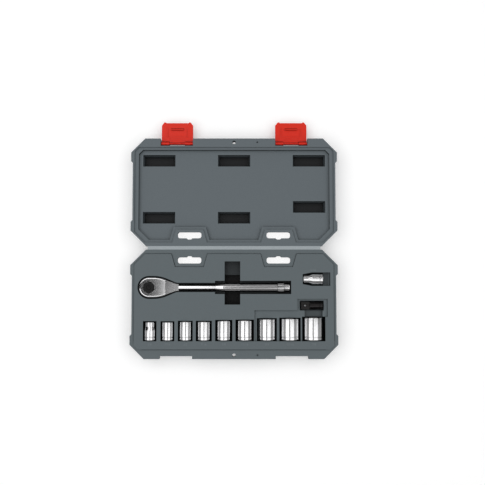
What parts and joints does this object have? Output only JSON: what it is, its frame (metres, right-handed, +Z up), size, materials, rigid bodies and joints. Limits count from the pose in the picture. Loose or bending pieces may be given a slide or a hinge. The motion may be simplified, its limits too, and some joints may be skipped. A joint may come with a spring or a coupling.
{
  "type": "socket wrench set in case",
  "caption": "Open moulded case on a fold-over hinge with red latches, holding a reversible ratchet handle, chrome six-point sockets and a black drive adapter in fitted pockets.",
  "frame": {"origin": "centre of the base's underside", "axes": "+Y across the hinge towards the open lid, +Z up out of the case, +X along the hinge to the largest sockets"},
  "size_m": [0.2798, 0.3225, 0.0321],
  "materials": {
    "case_plastic": "textured dark slate plastic",
    "hinge_web": "thin moulded web, paler than the case",
    "latch_plastic": "red moulded plastic",
    "bare_steel": "plain ground steel",
    "chrome_plate": "bright chrome plating",
    "dial_black": "black moulded plastic",
    "black_oxide": "black oxide steel"
  },
  "bodies": {
    "base": {"case_base": "case_plastic", "living_hinge": "hinge_web"},
    "lid": {"case_lid": "case_plastic", "latch_pin_left": "bare_steel", "latch_pin_right": "bare_steel"},
    "latch_left": {"latch_left": "latch_plastic"},
    "latch_right": {"latch_right": "latch_plastic"},
    "ratchet": {"ratchet_body": "chrome_plate", "cover_plate": "chrome_plate", "cover_screws": "bare_steel", "pawl_pin": "bare_steel"},
    "drive": {"drive_gear": "bare_steel", "release_spring": "bare_steel"},
    "dial": {"reversing_dial": "dial_black"},
    "pawl": {"pawl": "bare_steel"},
    "button": {"release_button": "chrome_plate"},
    "drive_ball": {"drive_ball": "bare_steel"},
    "adapter": {"drive_adapter": "black_oxide", "adapter_spring": "bare_steel"},
    "adapter_ball": {"adapter_ball": "bare_steel"},
    "socket_3_8": {"socket_3_8": "chrome_plate"},
    "socket_7_16": {"socket_7_16": "chrome_plate"},
    "socket_1_2": {"socket_1_2": "chrome_plate"},
    "socket_9_16": {"socket_9_16": "chrome_plate"},
    "socket_5_8": {"socket_5_8": "chrome_plate"},
    "socket_11_16": {"socket_11_16": "chrome_plate"},
    "socket_3_4": {"socket_3_4": "chrome_plate"},
    "socket_13_16": {"socket_13_16": "chrome_plate"},
    "socket_7_8": {"socket_7_8": "chrome_plate"},
    "socket_5_16": {"socket_5_16": "chrome_plate"}
  },
  "joints": [
    {"name": "lid_hinge", "type": "hinge", "parent": "base", "child": "lid", "pos_m": [0, 0.07575, 0.02592], "axis": [-1, 0, 0], "range_deg": [-180, 0]},
    {"name": "latch_left_hinge", "type": "hinge", "parent": "lid", "child": "latch_left", "pos_m": [-0.078, 0.21875, 0.01877], "axis": [-1, 0, 0], "range_deg": [-90, 0]},
    {"name": "latch_right_hinge", "type": "hinge", "parent": "lid", "child": "latch_right", "pos_m": [0.078, 0.21875, 0.01877], "axis": [-1, 0, 0], "range_deg": [-90, 0]},
    {"name": "ratchet_lift", "type": "slide", "parent": "base", "child": "ratchet", "axis": [0, 0, 1], "range_m": [0, 0.06]},
    {"name": "drive_turn", "type": "hinge", "parent": "ratchet", "child": "drive", "pos_m": [-0.11407, 0.02235, 0.02237], "axis": [0, 0, 1], "continuous": true},
    {"name": "dial_turn", "type": "hinge", "parent": "ratchet", "child": "dial", "pos_m": [-0.11407, 0.02235, 0.02887], "axis": [0, 0, 1], "range_deg": [-40, 0]},
    {"name": "pawl_rock", "type": "hinge", "parent": "ratchet", "child": "pawl", "pos_m": [-0.10171, 0.02235, 0.02237], "axis": [0, 0, 1], "range_deg": [-5.15, 0]},
    {"name": "button_press", "type": "slide", "parent": "drive", "child": "button", "axis": [0, 0, 1], "range_m": [-0.002, 0], "stiffness_N_per_m": 800, "deforming": ["release_spring"]},
    {"name": "ball_slide", "type": "slide", "parent": "drive", "child": "drive_ball", "axis": [0, 1, 0], "range_m": [-0.0007, 0]},
    {"name": "socket_3_8_lift", "type": "slide", "parent": "base", "child": "socket_3_8", "axis": [0, 0, 1], "range_m": [0, 0.06]},
    {"name": "socket_7_16_lift", "type": "slide", "parent": "base", "child": "socket_7_16", "axis": [0, 0, 1], "range_m": [0, 0.06]},
    {"name": "socket_1_2_lift", "type": "slide", "parent": "base", "child": "socket_1_2", "axis": [0, 0, 1], "range_m": [0, 0.06]},
    {"name": "socket_9_16_lift", "type": "slide", "parent": "base", "child": "socket_9_16", "axis": [0, 0, 1], "range_m": [0, 0.06]},
    {"name": "socket_5_8_lift", "type": "slide", "parent": "base", "child": "socket_5_8", "axis": [0, 0, 1], "range_m": [0, 0.06]},
    {"name": "socket_11_16_lift", "type": "slide", "parent": "base", "child": "socket_11_16", "axis": [0, 0, 1], "range_m": [0, 0.06]},
    {"name": "socket_3_4_lift", "type": "slide", "parent": "base", "child": "socket_3_4", "axis": [0, 0, 1], "range_m": [0, 0.06]},
    {"name": "socket_13_16_lift", "type": "slide", "parent": "base", "child": "socket_13_16", "axis": [0, 0, 1], "range_m": [0, 0.06]},
    {"name": "socket_7_8_lift", "type": "slide", "parent": "base", "child": "socket_7_8", "axis": [0, 0, 1], "range_m": [0, 0.06]},
    {"name": "socket_5_16_lift", "type": "slide", "parent": "base", "child": "socket_5_16", "axis": [0, 0, 1], "range_m": [0, 0.06]},
    {"name": "adapter_lift", "type": "slide", "parent": "base", "child": "adapter", "axis": [0, 0, 1], "range_m": [0, 0.06]},
    {"name": "adapter_ball_press", "type": "slide", "parent": "adapter", "child": "adapter_ball", "axis": [0, 0, 1], "range_m": [-0.0006, 0], "stiffness_N_per_m": 200, "deforming": ["adapter_spring"]}
  ],
  "couplings": [
    {"joint": "pawl_rock", "follows": "dial_turn", "ratio": 0.12815},
    {"joint": "ball_slide", "follows": "button_press", "ratio": 0.3}
  ]
}
